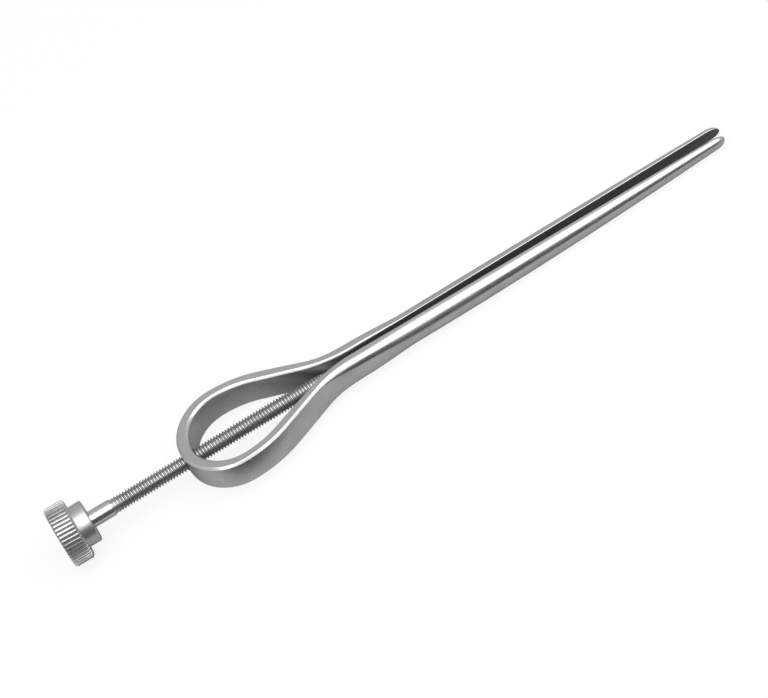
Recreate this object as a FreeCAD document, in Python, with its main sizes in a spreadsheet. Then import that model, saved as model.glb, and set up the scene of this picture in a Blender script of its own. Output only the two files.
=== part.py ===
import FreeCAD, Part
import math
import os
import Sketcher

# Screw-operated teat dilator: a pear-shaped spring loop that runs on as two half-round prongs, and a
# knurled knob on a fine screw whose tapered nose wedges the two arms apart.
# X runs along the screw's axis from the knob to the prong tips, Y across the loop, Z up.
# The origin is the centre of the whole instrument's box, on the screw's axis. Lengths in millimetres.

SIZES = {
    # knob, from its outer face towards the loop
    "knob_diameter": 12.0,
    "knob_length": 4.0,
    "knob_edge": 0.45,
    "knob_groove_count": 46,
    "knob_groove_width": 0.36,
    "knob_groove_depth": 0.32,
    "hub_diameter": 8.25,
    "hub_length": 2.65,
    "hub_edge": 0.35,
    # screw spindle
    "seat_diameter": 2.6,
    "seat_clearance": 0.02,
    "neck_diameter": 3.2,
    "neck_length": 4.5,
    "neck_edge": 0.12,
    "thread_diameter": 3.0,
    "thread_outside": 15.35,
    "nose_length": 5.2,
    "nose_end_diameter": 0.8,
    "nose_setback": 2.77,
    # loop of the spring frame, from its back
    "loop_radius": 9.77,
    "loop_height": 6.1,
    "back_thickness": 2.4,
    "strip_thickness": 1.82,
    "flank_thickness": 1.87,
    "flank_bend_radius": 22.8,
    "flank_angle": 24.5,
    "root_bend_radius": 19.5,
    "edge_bevel": 0.42,
    "hole_clearance": 0.03,
    # where each arm flexes
    "flex_angle": 57.0,
    "flex_gap": 0.06,
    # prongs, from the root to the tips
    "root_drop": 0.5,
    "root_thickness": 1.7,
    "root_gap": 0.9,
    "root_length": 12.5,
    "prong_radius": 2.48,
    "prong_end_radius": 1.22,
    "prong_edge_round": 0.16,
    "tip_gap": 2.2,
    "tip_length": 2.2,
    "frame_length": 113.3,
}

# Number of evenly spaced sections that each stretch of a prong is drawn through
ROOT_SECTIONS = 6
TAPER_SECTIONS = 10
TIP_SECTIONS = 7
# How fast the prong thins: its radius falls with this power of the way along it
TAPER_POWER = 1.75
# How far round the tip's quarter turn the last section stands, so that a small real face ends it
TIP_TURN = math.radians(79)
# Shortest straight stretch left between two rounded corners of a section
CORNER_GAP = 0.04

doc = FreeCAD.newDocument("teat_dilator")
sheet = doc.addObject("Spreadsheet::Sheet", "Sizes")
for row, (alias, number) in enumerate(SIZES.items(), start=1):
    sheet.set(f"A{row}", alias)
    sheet.set(f"B{row}", str(number))
    sheet.setAlias(f"B{row}", alias)
doc.recompute()

# Places along X that several pieces share
BOW_BACK = "Sizes.knob_length + Sizes.hub_length + Sizes.neck_length + Sizes.thread_outside"
OVERALL = f"({BOW_BACK} + Sizes.frame_length)"
KNOB_END_X = f"-{OVERALL} / 2"
BOW_BACK_X = f"{BOW_BACK} - {OVERALL} / 2"
ROOT_HEIGHT = "(Sizes.loop_height - Sizes.root_drop)"


def value(expression):
    """The number that an expression on the sheet's cells gives."""
    return float(sheet.evalExpression(expression))


def origin_plane(body, role):
    return next(feature for feature in body.Origin.OriginFeatures if feature.Role == role)


def new_body(label, x_expression):
    """A body whose own zero is carried to a place on the screw's axis."""
    body = doc.addObject("PartDesign::Body", label)
    body.Label = label
    body.setExpression("Placement.Base.x", x_expression)
    return body


def new_sketch(body, name, role, offset=None):
    """A sketch on one of the body's own planes, moved along that plane's normal by an expression."""
    sketch = body.newObject("Sketcher::SketchObject", name)
    sketch.AttachmentSupport = [(origin_plane(body, role), "")]
    sketch.MapMode = "FlatFace"
    if offset:
        sketch.setExpression("AttachmentOffset.Base.z", offset)
    return sketch


def fix_point(sketch, edge, end, name, across, up):
    """Hold one end of an edge at a place given by two expressions on the sheet."""
    for kind, axis, expression in (("DistanceX", "x", across), ("DistanceY", "y", up)):
        number = value(expression)
        if abs(number) < 1e-9:
            other = "PointOnObject"
            line = -2 if axis == "x" else -1
            sketch.addConstraint(Sketcher.Constraint(other, edge, end, line))
            continue
        index = sketch.addConstraint(Sketcher.Constraint(kind, -1, 1, edge, end, number))
        sketch.renameConstraint(index, f"{name}_{axis}")
        sketch.setExpression(f"Constraints.{name}_{axis}", expression)


def closed_polygon(sketch, corners):
    """Straight edges through corners, each a (name, across, up) of expressions."""
    points = [FreeCAD.Vector(value(across), value(up), 0) for _, across, up in corners]
    count = len(points)
    for index in range(count):
        sketch.addGeometry(Part.LineSegment(points[index], points[(index + 1) % count]), False)
    for index in range(count):
        following = (index + 1) % count
        sketch.addConstraint(Sketcher.Constraint("Coincident", index, 2, following, 1))
    for index, (name, across, up) in enumerate(corners):
        fix_point(sketch, index, 1, name, across, up)


def revolve(body, sketch, name):
    """A full turn of a sketch about the screw's axis."""
    feature = body.newObject("PartDesign::Revolution", name)
    feature.Profile = sketch
    feature.ReferenceAxis = (sketch, ["H_Axis"])
    feature.Angle = 360.0
    doc.recompute()
    return feature


def build_knob():
    """Knurled disc and hub, turned in one, with straight grooves milled round the rim."""
    body = new_body("knurled_knob", KNOB_END_X)
    bore = "(Sizes.seat_diameter / 2 + Sizes.seat_clearance)"
    rim = "Sizes.knob_diameter / 2"
    hub = "Sizes.hub_diameter / 2"
    end = "(Sizes.knob_length + Sizes.hub_length)"
    profile = new_sketch(body, "knob_profile", "XZ_Plane")
    closed_polygon(
        profile,
        [
            ("outer_bore", "0", bore),
            ("inner_bore", end, bore),
            ("hub_face", end, f"{hub} - Sizes.hub_edge"),
            ("hub_side", f"{end} - Sizes.hub_edge", hub),
            ("hub_foot", "Sizes.knob_length", hub),
            ("front_face", "Sizes.knob_length", f"{rim} - Sizes.knob_edge"),
            ("front_edge", "Sizes.knob_length - Sizes.knob_edge", rim),
            ("outer_edge", "Sizes.knob_edge", rim),
            ("outer_face", "0", f"{rim} - Sizes.knob_edge"),
        ],
    )
    blank = revolve(body, profile, "knob_blank")
    full = blank.Shape.Volume

    groove_sketch = new_sketch(body, "groove_profile", "YZ_Plane")
    closed_polygon(
        groove_sketch,
        [
            ("floor", "0", f"{rim} - Sizes.knob_groove_depth"),
            ("right", "Sizes.knob_groove_width", f"{rim} + Sizes.knob_groove_depth"),
            ("left", "-Sizes.knob_groove_width", f"{rim} + Sizes.knob_groove_depth"),
        ],
    )
    groove = body.newObject("PartDesign::Pocket", "groove")
    groove.Profile = groove_sketch
    groove.Type = "Length"
    groove.setExpression("Length", "2 * Sizes.knob_length")
    groove.Midplane = True
    doc.recompute()
    if not groove.Shape.Volume < full:
        raise RuntimeError("the knob's groove cuts nothing")
    ring = body.newObject("PartDesign::PolarPattern", "groove_ring")
    ring.Originals = [groove]
    ring.Axis = (groove_sketch, ["N_Axis"])
    ring.Angle = 360
    ring.setExpression("Occurrences", "Sizes.knob_groove_count")
    body.Tip = ring
    doc.recompute()
    return body


def build_spindle(plan):
    """Seat in the knob, plain neck, threaded length at its outer diameter, and the tapered nose.

    The nose ends a set way short of the root, where it stands between the two arms.
    """
    body = new_body("screw_spindle", KNOB_END_X)
    seat = "Sizes.seat_diameter / 2"
    neck = "Sizes.neck_diameter / 2"
    thread = "Sizes.thread_diameter / 2"
    nose_end = "Sizes.nose_end_diameter / 2"
    neck_start = "Sizes.knob_length + Sizes.hub_length + Sizes.seat_clearance"
    neck_end = "Sizes.knob_length + Sizes.hub_length + Sizes.neck_length"
    tip = f"{neck_end} + Sizes.thread_outside + {plan.root_x} - Sizes.nose_setback"
    profile = new_sketch(body, "spindle_profile", "XZ_Plane")
    closed_polygon(
        profile,
        [
            ("seat_axis", "0", "0"),
            ("tip_axis", tip, "0"),
            ("tip_corner", tip, f"{nose_end} - Sizes.neck_edge"),
            ("tip_side", f"{tip} - Sizes.neck_edge", nose_end),
            ("nose_foot", f"{tip} - Sizes.nose_length", thread),
            ("thread_edge", f"{neck_end} + Sizes.neck_edge", thread),
            ("neck_end", neck_end, neck),
            ("neck_start", neck_start, neck),
            ("seat_end", neck_start, seat),
            ("seat_corner", "0", seat),
        ],
    )
    body.Tip = revolve(body, profile, "spindle_turned")
    return body


class LoopPlan:
    """The loop's outline seen from above, half of it, worked out from the sheet's sizes.

    Outside, a circle, a wide bend, a straight flank and a bend back to the root follow each other
    tangentially. Inside, the same four lie at the strip's thickness, which is more at the back.
    """

    def __init__(self):
        self.angle = math.radians(value("Sizes.flank_angle"))
        sine, cosine = math.sin(self.angle), math.cos(self.angle)
        outer = value("Sizes.loop_radius")
        inner = outer - value("Sizes.strip_thickness")
        bend = value("Sizes.flank_bend_radius")
        root_bend = value("Sizes.root_bend_radius")
        self.root_inside = value("Sizes.root_gap") / 2
        self.root_outside = self.root_inside + value("Sizes.root_thickness")
        self.outer_radius = outer
        self.inner_radius = inner
        self.outer_centre = FreeCAD.Vector(outer, 0, 0)
        self.inner_centre = FreeCAD.Vector(value("Sizes.back_thickness") + inner, 0, 0)
        self.normal = FreeCAD.Vector(sine, cosine, 0)

        self.outer_bend_radius = bend
        self.outer_bend_centre = FreeCAD.Vector(outer, outer - bend, 0)
        reach = self.normal.dot(self.outer_bend_centre) + bend
        inner_reach = reach - value("Sizes.flank_thickness")
        top = FreeCAD.Vector(self.inner_centre.x, inner, 0)
        self.inner_bend_radius = (inner_reach - self.normal.dot(top)) / (1 - cosine)
        self.inner_bend_centre = FreeCAD.Vector(top.x, top.y - self.inner_bend_radius, 0)

        drop = outer - (bend + root_bend) * (1 - cosine) - self.root_outside
        self.root_x = outer + (bend + root_bend) * sine + drop / sine * cosine
        self.outer_root_radius = root_bend
        self.outer_root_centre = FreeCAD.Vector(self.root_x, self.root_outside + root_bend, 0)
        foot = FreeCAD.Vector(self.root_x, self.root_inside, 0)
        self.inner_root_radius = (self.normal.dot(foot) - inner_reach) / (1 - cosine)
        self.inner_root_centre = foot + FreeCAD.Vector(0, self.inner_root_radius, 0)

        self.taper_start = 2 * outer
        drop = value("Sizes.root_drop") / 2
        self.taper_radius = ((self.root_x - self.taper_start) ** 2 + drop**2) / (2 * drop)

    def height_at(self, x):
        """Height of the strip above a place along the axis: full, then down an arc to the root."""
        along = max(0.0, x - self.taper_start)
        fallen = self.taper_radius - math.sqrt(self.taper_radius**2 - along**2)
        return value("Sizes.loop_height") - 2 * fallen

    def on_circle(self, centre, radius, along, offset):
        """Where a circle meets the flex line, which is radial and moved across itself by offset."""
        across = FreeCAD.Vector(along.y, -along.x, 0)
        start = self.outer_centre + across * offset
        to_centre = centre - start
        nearest = to_centre.dot(along)
        away = (to_centre - along * nearest).Length
        return start + along * (nearest + math.sqrt(radius**2 - away**2))

    def flex_points(self, side, offset):
        """Inner and outer end of the flex line on one side of the loop."""
        turn = math.radians(value("Sizes.flex_angle"))
        along = FreeCAD.Vector(-math.cos(turn), math.sin(turn), 0)
        inner = self.on_circle(self.inner_centre, self.inner_radius, along, offset)
        outer = self.on_circle(self.outer_centre, self.outer_radius, along, offset)
        return [FreeCAD.Vector(point.x, side * point.y, 0) for point in (inner, outer)]


def heading(centre, point):
    """Direction from a centre to a point, as an angle from the X axis."""
    return math.atan2(point.y - centre.y, point.x - centre.x)


def arc(centre, first, last, middle):
    """An arc about a centre between two points, on the side of the given middle."""
    radius = (first - centre).Length
    start, end, through = (heading(centre, point) for point in (first, last, middle))
    turn = 2 * math.pi
    if (through - start) % turn > (end - start) % turn:
        start, end = end, start
    circle = Part.Circle(centre, FreeCAD.Vector(0, 0, 1), radius)
    return Part.ArcOfCircle(circle, start, start + (end - start) % turn)


def draw_chain(sketch, edges, tangent_joins):
    """Add edges that follow each other round, joined at their ends and tangent where told."""
    for edge in edges:
        sketch.addGeometry(edge, False)
    points = [(edge.StartPoint, edge.EndPoint) for edge in sketch.Geometry]
    count = len(edges)
    for index in range(count):
        following = (index + 1) % count
        pairs = [(first, second) for first in (1, 2) for second in (1, 2)]
        first, second = min(
            pairs,
            key=lambda pair: (points[index][pair[0] - 1] - points[following][pair[1] - 1]).Length,
        )
        kind = "Tangent" if index in tangent_joins else "Coincident"
        sketch.addConstraint(Sketcher.Constraint(kind, index, first, following, second))


def long_edges(shape, height_of, ends):
    """Names of the edges along the strip's corners: near its top or underside, not on an end face."""
    names = []
    for number, edge in enumerate(shape.Edges, start=1):
        middle = edge.valueAt((edge.FirstParameter + edge.LastParameter) / 2)
        if abs(abs(middle.z) - height_of(middle.x) / 2) > 1e-3:
            continue
        corners = [vertex.Point for vertex in edge.Vertexes]
        if any(all(abs(end(point)) < 1e-6 for point in corners + [middle]) for end in ends):
            continue
        names.append(f"Edge{number}")
    return names


def bevel_edges(body, name, base, edges):
    """The bevel ground along the strip's corners."""
    bevel = body.newObject("PartDesign::Chamfer", name)
    bevel.Base = (base, edges)
    bevel.setExpression("Size", "Sizes.edge_bevel")
    body.Tip = bevel
    doc.recompute()
    return bevel


def build_bow(plan):
    """Thick back of the loop, from one flex line round to the other, with the screw's hole."""
    body = new_body("bow", BOW_BACK_X)
    sketch = new_sketch(body, "bow_plan", "XY_Plane")
    left_in, left_out = plan.flex_points(1, 0)
    right_in, right_out = plan.flex_points(-1, 0)
    back = FreeCAD.Vector(-1, 0, 0)
    edges = [
        arc(plan.outer_centre, left_out, right_out, plan.outer_centre + back),
        Part.LineSegment(right_out, right_in),
        arc(plan.inner_centre, right_in, left_in, plan.inner_centre + back),
        Part.LineSegment(left_in, left_out),
    ]
    draw_chain(sketch, edges, set())
    hold_circle(sketch, 0, "outer", "Sizes.loop_radius", "Sizes.loop_radius")
    inner = "(Sizes.loop_radius - Sizes.strip_thickness)"
    hold_circle(sketch, 2, "inner", f"Sizes.back_thickness + {inner}", inner)
    pad = body.newObject("PartDesign::Pad", "bow_band")
    pad.Profile = sketch
    pad.Midplane = True
    pad.setExpression("Length", "Sizes.loop_height")
    doc.recompute()

    def on_end(side):
        first, second = plan.flex_points(side, 0)
        along = (second - first).normalize()
        return lambda point: (point - first).cross(along).z

    names = long_edges(
        pad.Shape, lambda x: value("Sizes.loop_height"), [on_end(1), on_end(-1)]
    )
    bevels = bevel_edges(body, "bow_edges", pad, names)
    full = bevels.Shape.Volume

    hole_sketch = new_sketch(body, "screw_hole_circle", "YZ_Plane")
    radius = "Sizes.thread_diameter / 2 + Sizes.hole_clearance"
    hole_sketch.addGeometry(
        Part.Circle(FreeCAD.Vector(0, 0, 0), FreeCAD.Vector(0, 0, 1), value(radius)), False
    )
    hole_sketch.addConstraint(Sketcher.Constraint("Coincident", 0, 3, -1, 1))
    index = hole_sketch.addConstraint(Sketcher.Constraint("Radius", 0, value(radius)))
    hole_sketch.renameConstraint(index, "hole_radius")
    hole_sketch.setExpression("Constraints.hole_radius", radius)
    hole = body.newObject("PartDesign::Pocket", "screw_hole")
    hole.Profile = hole_sketch
    hole.Midplane = True
    hole.Type = "Length"
    hole.setExpression("Length", "4 * Sizes.back_thickness")
    doc.recompute()
    if not hole.Shape.Volume < full:
        raise RuntimeError("the screw's hole cuts nothing")
    body.Tip = hole
    return body


def hold_circle(sketch, edge, name, centre_x, radius):
    """Hold an arc's centre on the axis and its radius, both by expressions."""
    sketch.addConstraint(Sketcher.Constraint("PointOnObject", edge, 3, -1))
    for kind, suffix, expression in (("DistanceX", "x", centre_x), ("Radius", "radius", radius)):
        number = value(expression)
        if kind == "DistanceX":
            constraint = Sketcher.Constraint(kind, -1, 1, edge, 3, number)
        else:
            constraint = Sketcher.Constraint(kind, edge, number)
        index = sketch.addConstraint(constraint)
        sketch.renameConstraint(index, f"{name}_{suffix}")
        sketch.setExpression(f"Constraints.{name}_{suffix}", expression)


def smooth(share):
    """From 0 to 1 with level ends."""
    return share * share * (3 - 2 * share)


def prong_section(x, root_x):
    """Expressions for the section at a place along the prong, from the root to the tip.

    Gives the flat's place, the thickness, the height, the underside and the two corner roundings.
    The prong's upper edge runs level, so that it is the underside that rises as the prong thins.
    """
    tip_start = value("Sizes.frame_length - Sizes.tip_length")
    root_end = root_x + value("Sizes.root_length")
    end = value("Sizes.frame_length")
    along = (x - root_x) / (end - root_x)
    flat = f"Sizes.root_gap / 2 * {1 - along} + Sizes.tip_gap / 2 * {along}"
    fall = max(0.0, min(1.0, (x - root_end) / (tip_start - root_end))) ** TAPER_POWER
    radius = f"(Sizes.prong_radius * {1 - fall} + Sizes.prong_end_radius * {fall})"
    change = smooth(min(1.0, (x - root_x) / (root_end - root_x)))
    beyond = max(0.0, (x - tip_start) / (end - tip_start)) * math.sin(TIP_TURN)
    shrink = math.sqrt(1 - beyond**2)
    thick = f"(Sizes.root_thickness * {1 - change} + {radius} * {change}) * {shrink}"
    tall = f"({ROOT_HEIGHT} * {1 - change} + 2 * {radius} * {change}) * {shrink}"
    low = f"Sizes.prong_radius - {radius} - {tall} / 2"
    inner = f"(Sizes.edge_bevel * {1 - change} + Sizes.prong_edge_round * {change}) * {shrink}"
    widest = f"min({thick} - {inner}; {tall} / 2) - {CORNER_GAP}"
    outer = f"Sizes.edge_bevel * {1 - change} + ({widest}) * {change}"
    return flat, thick, tall, low, inner, outer


def draw_root_section(sketch):
    """The strip's own section where the flank ends: flat sides with bevelled corners."""
    near = "Sizes.root_gap / 2"
    far = f"{near} + Sizes.root_thickness"
    half = f"{ROOT_HEIGHT} / 2"
    bevel = "Sizes.edge_bevel"
    closed_polygon(
        sketch,
        [
            ("flat_high", near, f"{half} - {bevel}"),
            ("flat_low", near, f"{bevel} - {half}"),
            ("under_near", f"{near} + {bevel}", f"-{half}"),
            ("under_far", f"{far} - {bevel}", f"-{half}"),
            ("back_low", far, f"{bevel} - {half}"),
            ("back_high", far, f"{half} - {bevel}"),
            ("top_far", f"{far} - {bevel}", half),
            ("top_near", f"{near} + {bevel}", half),
        ],
    )


def draw_section(sketch, section):
    """A half-round section: flat inside, round back, eight edges as in the strip's own section."""
    flat, thick, tall, low, inner, outer = section
    near, wide, high, floor = value(flat), value(thick), value(tall), value(low)
    small, large = value(inner), value(outer)
    far, top = near + wide, floor + high

    def point(across, up):
        return FreeCAD.Vector(across, up, 0)

    def corner(centre_across, centre_up, radius, start):
        return Part.ArcOfCircle(
            Part.Circle(point(centre_across, centre_up), FreeCAD.Vector(0, 0, 1), radius),
            math.radians(start),
            math.radians(start + 90),
        )

    edges = [
        Part.LineSegment(point(near, top - small), point(near, floor + small)),
        corner(near + small, floor + small, small, 180),
        Part.LineSegment(point(near + small, floor), point(far - large, floor)),
        corner(far - large, floor + large, large, 270),
        Part.LineSegment(point(far, floor + large), point(far, top - large)),
        corner(far - large, top - large, large, 0),
        Part.LineSegment(point(far - large, top), point(near + small, top)),
        corner(near + small, top - small, small, 90),
    ]
    draw_chain(sketch, edges, set(range(8)))
    for edge, direction in ((0, "Vertical"), (2, "Horizontal"), (4, "Vertical"), (6, "Horizontal")):
        sketch.addConstraint(Sketcher.Constraint(direction, edge))
    sketch.addConstraint(Sketcher.Constraint("Equal", 1, 7))
    sketch.addConstraint(Sketcher.Constraint("Equal", 3, 5))
    named = [
        ("flat", Sketcher.Constraint("DistanceX", -1, 1, 0, 1, near), flat),
        ("thick", Sketcher.Constraint("DistanceX", 0, 1, 4, 1, wide), thick),
        ("tall", Sketcher.Constraint("DistanceY", 2, 1, 6, 2, high), tall),
        ("low", Sketcher.Constraint("DistanceY", -1, 1, 2, 1, floor), low),
        ("inner_round", Sketcher.Constraint("Radius", 1, small), inner),
        ("outer_round", Sketcher.Constraint("Radius", 3, large), outer),
    ]
    for name, constraint, expression in named:
        index = sketch.addConstraint(constraint)
        sketch.renameConstraint(index, name)
        sketch.setExpression(f"Constraints.{name}", expression)


def section_places(root_x):
    """Where the prong's sections stand: along the root, the long taper and the rounded tip."""
    tip_start = value("Sizes.frame_length - Sizes.tip_length")
    end = value("Sizes.frame_length")
    root_end = root_x + value("Sizes.root_length")
    places = [
        root_x + (root_end - root_x) * index / ROOT_SECTIONS for index in range(ROOT_SECTIONS)
    ]
    places += [
        root_end + (tip_start - root_end) * index / TAPER_SECTIONS
        for index in range(TAPER_SECTIONS)
    ]
    for index in range(TIP_SECTIONS):
        turn = TIP_TURN * index / (TIP_SECTIONS - 1)
        places.append(tip_start + (end - tip_start) * math.sin(turn) / math.sin(TIP_TURN))
    return places


def build_arm(plan):
    """Flank of the loop from the flex line to the root, and the half-round prong that follows."""
    body = new_body("arm_left", BOW_BACK_X)
    sketch = new_sketch(body, "flank_plan", "XY_Plane")
    flex_in, flex_out = plan.flex_points(1, value("Sizes.flex_gap"))
    up = FreeCAD.Vector(0, 1, 0)
    outer_top = plan.outer_centre + up * plan.outer_radius
    inner_top = plan.inner_centre + up * plan.inner_radius
    outer_flank = plan.outer_bend_centre + plan.normal * plan.outer_bend_radius
    inner_flank = plan.inner_bend_centre + plan.normal * plan.inner_bend_radius
    outer_root = plan.outer_root_centre - plan.normal * plan.outer_root_radius
    inner_root = plan.inner_root_centre - plan.normal * plan.inner_root_radius
    outer_end = FreeCAD.Vector(plan.root_x, plan.root_outside, 0)
    inner_end = FreeCAD.Vector(plan.root_x, plan.root_inside, 0)

    def bend(centre, start, end):
        return arc(centre, start, end, (start + end) * 0.5)

    edges = [
        bend(plan.outer_centre, flex_out, outer_top),
        bend(plan.outer_bend_centre, outer_top, outer_flank),
        Part.LineSegment(outer_flank, outer_root),
        bend(plan.outer_root_centre, outer_root, outer_end),
        Part.LineSegment(outer_end, inner_end),
        bend(plan.inner_root_centre, inner_end, inner_root),
        Part.LineSegment(inner_root, inner_flank),
        bend(plan.inner_bend_centre, inner_flank, inner_top),
        bend(plan.inner_centre, inner_top, flex_in),
        Part.LineSegment(flex_in, flex_out),
    ]
    draw_chain(sketch, edges, set())
    hold_circle(sketch, 0, "outer", "Sizes.loop_radius", "Sizes.loop_radius")
    inner = "(Sizes.loop_radius - Sizes.strip_thickness)"
    hold_circle(sketch, 8, "inner", f"Sizes.back_thickness + {inner}", inner)
    pad = body.newObject("PartDesign::Pad", "flank_band")
    pad.Profile = sketch
    pad.Midplane = True
    pad.setExpression("Length", "Sizes.loop_height")
    doc.recompute()
    full = pad.Shape.Volume

    taper = new_sketch(body, "height_taper", "XZ_Plane")
    start = FreeCAD.Vector(plan.taper_start, value("Sizes.loop_height") / 2, 0)
    end = FreeCAD.Vector(plan.root_x, value(ROOT_HEIGHT) / 2, 0)
    over = FreeCAD.Vector(0, value("Sizes.loop_height"), 0)
    edges = [
        arc(start - FreeCAD.Vector(0, plan.taper_radius, 0), start, end, (start + end) * 0.5),
        Part.LineSegment(end, end + over),
        Part.LineSegment(end + over, start + over),
        Part.LineSegment(start + over, start),
    ]
    draw_chain(taper, edges, set())
    fix_point(taper, 3, 2, "start", "2 * Sizes.loop_radius", "Sizes.loop_height / 2")
    index = taper.addConstraint(Sketcher.Constraint("DistanceY", -1, 1, 1, 1, end.y))
    taper.renameConstraint(index, "root_half")
    taper.setExpression("Constraints.root_half", f"{ROOT_HEIGHT} / 2")
    upper = body.newObject("PartDesign::Pocket", "upper_taper")
    upper.Profile = taper
    upper.Midplane = True
    upper.Type = "Length"
    upper.setExpression("Length", "4 * Sizes.loop_radius")
    doc.recompute()
    lower = body.newObject("PartDesign::Mirrored", "lower_taper")
    lower.Originals = [upper]
    lower.MirrorPlane = (origin_plane(body, "XY_Plane"), [""])
    body.Tip = lower
    doc.recompute()
    if not lower.Shape.Volume < upper.Shape.Volume < full:
        raise RuntimeError("the flank's taper cuts nothing")

    def on_flex(point):
        return (point - flex_in).cross((flex_out - flex_in).normalize()).z

    def on_root(point):
        return point.x - plan.root_x

    def on_taper_line(point):
        return point.x - plan.taper_start

    names = long_edges(lower.Shape, plan.height_at, [on_flex, on_root, on_taper_line])
    bevels = bevel_edges(body, "flank_edges", lower, names)

    sections = []
    for number, x in enumerate(section_places(plan.root_x)):
        section = new_sketch(body, f"prong_section_{number}", "YZ_Plane", str(x))
        if number == 0:
            draw_root_section(section)
        else:
            draw_section(section, prong_section(x, plan.root_x))
        sections.append(section)
    doc.recompute()
    prong = body.newObject("PartDesign::AdditiveLoft", "prong")
    prong.Profile = sections[0]
    prong.Sections = sections[1:]
    prong.Ruled = True
    prong.Closed = False
    body.Tip = prong
    doc.recompute()
    if not prong.Shape.Volume > bevels.Shape.Volume:
        raise RuntimeError("the prong adds nothing")
    return body


def mirror_arm(arm):
    """The other arm, the same strip mirrored in the plane through the screw's axis."""
    other = doc.addObject("Part::Mirroring", "arm_right")
    other.Label = "arm_right"
    other.Source = arm
    other.Normal = (0, 1, 0)
    doc.recompute()
    return other


def check_document():
    """Stop on any feature that failed, because a recompute alone doesn't."""
    for item in doc.Objects:
        for word in ("Invalid", "Error"):
            if word in item.State:
                raise RuntimeError(f"{item.Name} is {word}")


def check_shape(part):
    if part.Shape.isNull() or not part.Shape.isValid() or len(part.Shape.Solids) != 1:
        raise RuntimeError(f"{part.Label} isn't one valid solid")


def main():
    plan = LoopPlan()
    arm = build_arm(plan)
    parts = [build_bow(plan), arm, mirror_arm(arm), build_spindle(plan), build_knob()]
    doc.recompute()
    check_document()
    for part in parts:
        check_shape(part)
    os.makedirs("parts", exist_ok=True)
    for part in parts:
        part.Shape.exportStep(f"parts/{part.Label}.step")
        box = part.Shape.BoundBox
        print(
            f"{part.Label}: {part.Shape.Volume:.2f} mm3,"
            f" x {box.XMin:.2f} to {box.XMax:.2f},"
            f" y {box.YMin:.2f} to {box.YMax:.2f},"
            f" z {box.ZMin:.2f} to {box.ZMax:.2f}"
        )


main()
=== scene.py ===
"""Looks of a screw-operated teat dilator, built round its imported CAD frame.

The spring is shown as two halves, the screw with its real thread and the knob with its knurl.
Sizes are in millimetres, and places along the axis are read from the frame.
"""

import logging
import math
from collections.abc import Callable, Iterator
from contextlib import contextmanager
from dataclasses import dataclass, field
from enum import Enum

import bmesh
import bpy
from bpy.types import Material, NodeTree, Object, World
from mathutils import Matrix, Vector

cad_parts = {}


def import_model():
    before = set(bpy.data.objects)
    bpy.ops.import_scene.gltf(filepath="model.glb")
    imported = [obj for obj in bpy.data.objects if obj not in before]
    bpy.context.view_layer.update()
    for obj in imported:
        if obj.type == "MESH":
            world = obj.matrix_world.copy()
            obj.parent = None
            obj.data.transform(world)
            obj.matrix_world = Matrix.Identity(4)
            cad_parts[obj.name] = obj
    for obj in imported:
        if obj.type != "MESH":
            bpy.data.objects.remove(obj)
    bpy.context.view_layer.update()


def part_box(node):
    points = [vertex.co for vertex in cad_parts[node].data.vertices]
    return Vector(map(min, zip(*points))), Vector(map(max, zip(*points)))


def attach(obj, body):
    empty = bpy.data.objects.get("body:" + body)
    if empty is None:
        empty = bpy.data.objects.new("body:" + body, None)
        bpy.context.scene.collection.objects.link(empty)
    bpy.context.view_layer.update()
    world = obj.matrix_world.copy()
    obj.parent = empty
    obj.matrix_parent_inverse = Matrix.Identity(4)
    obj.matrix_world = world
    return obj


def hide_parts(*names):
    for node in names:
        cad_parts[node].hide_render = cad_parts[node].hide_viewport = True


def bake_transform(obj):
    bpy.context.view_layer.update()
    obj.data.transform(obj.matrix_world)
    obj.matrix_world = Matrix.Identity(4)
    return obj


Pair = tuple[float, float]

LOG = logging.getLogger("teat_dilator")
MM = 0.001
PAINTED_SHADE = "painted_shade"
PLACE_IN_RING = "place_in_ring"


class Body(Enum):
    """The CAD bodies that pieces ride on."""

    FRAME = "frame"
    ARM_LEFT = "arm_left"
    ARM_RIGHT = "arm_right"
    KNOB = "knob"


class Node(Enum):
    """The CAD nodes that pieces stand for."""

    BOW = "bow"
    ARM_LEFT = "arm_left"
    ARM_RIGHT = "arm_right"
    SPINDLE = "screw_spindle"
    KNOB = "knurled_knob"


class Slot(Enum):
    """The record's material slots."""

    FRAME = "frame_steel"
    SCREW = "screw_steel"
    KNOB = "knob_steel"


class Side(Enum):
    """The two halves of the spring, by the sign of Y."""

    LEFT = 1
    RIGHT = -1


def linear(hex_colour: str) -> tuple[float, float, float, float]:
    """Turn an sRGB hex colour into the linear values that shaders take.

    Args:
        hex_colour: six hex digits, with or without a leading hash.

    Returns:
        Linear red, green and blue, and an alpha of 1.
    """
    digits = hex_colour.lstrip("#")
    channels = (int(digits[place : place + 2], 16) / 255 for place in (0, 2, 4))
    red, green, blue = (
        channel / 12.92 if channel <= 0.04045 else ((channel + 0.055) / 1.055) ** 2.4
        for channel in channels
    )
    return red, green, blue, 1.0


def smooth(share: float) -> float:
    """Ease a share from 0 to 1 with level ends."""
    share = min(1.0, max(0.0, share))
    return share * share * (3 - 2 * share)


def box_low(node: Node) -> Vector:
    """Lowest corner of a CAD node, in millimetres."""
    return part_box(node.value)[0] / MM


def box_high(node: Node) -> Vector:
    """Highest corner of a CAD node, in millimetres."""
    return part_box(node.value)[1] / MM


# Modelling steps


def select_none() -> None:
    """Leave every object unselected, in object mode."""
    if bpy.context.mode != "OBJECT":
        bpy.ops.object.mode_set(mode="OBJECT")
    bpy.ops.object.select_all(action="DESELECT")


def make_active(obj: Object) -> None:
    """Select one object alone and make it active."""
    select_none()
    obj.select_set(True)
    bpy.context.view_layer.objects.active = obj


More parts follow.
